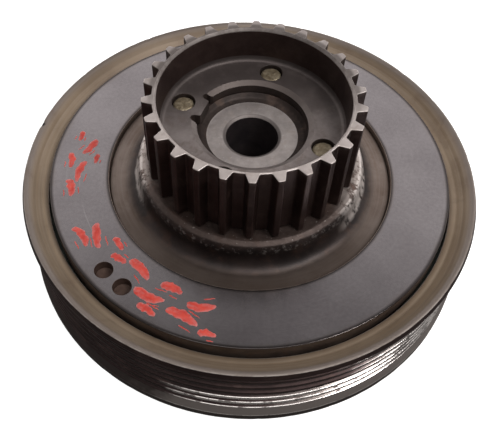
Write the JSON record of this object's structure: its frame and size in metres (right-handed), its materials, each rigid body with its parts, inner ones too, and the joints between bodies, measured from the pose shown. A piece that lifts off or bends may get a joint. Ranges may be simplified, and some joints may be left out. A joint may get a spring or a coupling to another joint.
{
  "type": "timing belt pulley",
  "caption": "Crankshaft pulley: a cup-shaped toothed timing belt sprocket on the hub of a wide torsional damper pulley with belt grooves round its rim.",
  "frame": {"origin": "on the axis of rotation, in the plane of the belt ring's lower edge", "axes": "+Z along the axis of rotation, from the grooved ring towards the toothed sprocket; +X to the right as seen with the three open pin holes behind, right and left"},
  "size_m": [0.1448, 0.1448, 0.0622],
  "materials": {
    "sintered_steel": "satin",
    "pin_steel": "rough",
    "cast_iron": "rough",
    "machined_steel": "satin",
    "oxidised_steel": "satin",
    "black_rubber": "matte",
    "pressed_steel": "satin",
    "bearing_polymer": "matte",
    "rivet_steel": "satin"
  },
  "bodies": {
    "hub": {"crank_hub": "cast_iron", "timing_sprocket": "sintered_steel", "drive_pin_1": "pin_steel", "drive_pin_2": "pin_steel", "drive_pin_3": "pin_steel", "drive_pin_4": "pin_steel", "damping_rubber": "black_rubber", "inner_sleeve": "pressed_steel", "coupling_rubber": "black_rubber", "rear_cover": "pressed_steel", "cover_rivet_1": "rivet_steel", "cover_rivet_2": "rivet_steel", "cover_rivet_3": "rivet_steel", "cover_rivet_4": "rivet_steel", "cover_rivet_5": "rivet_steel", "cover_rivet_6": "rivet_steel"},
    "pulley": {"pulley_ring": "oxidised_steel", "outer_sleeve": "pressed_steel", "slide_bearing": "bearing_polymer"},
    "inertia": {"inertia_ring": "machined_steel"}
  },
  "joints": [
    {"name": "pulley_twist", "type": "hinge", "parent": "hub", "child": "pulley", "pos_m": [0, 0, 0.015], "axis": [0, 0, 1], "range_deg": [-5, 5]},
    {"name": "inertia_twist", "type": "hinge", "parent": "hub", "child": "inertia", "pos_m": [0, 0, 0.026], "axis": [0, 0, 1], "range_deg": [-1, 1]}
  ]
}
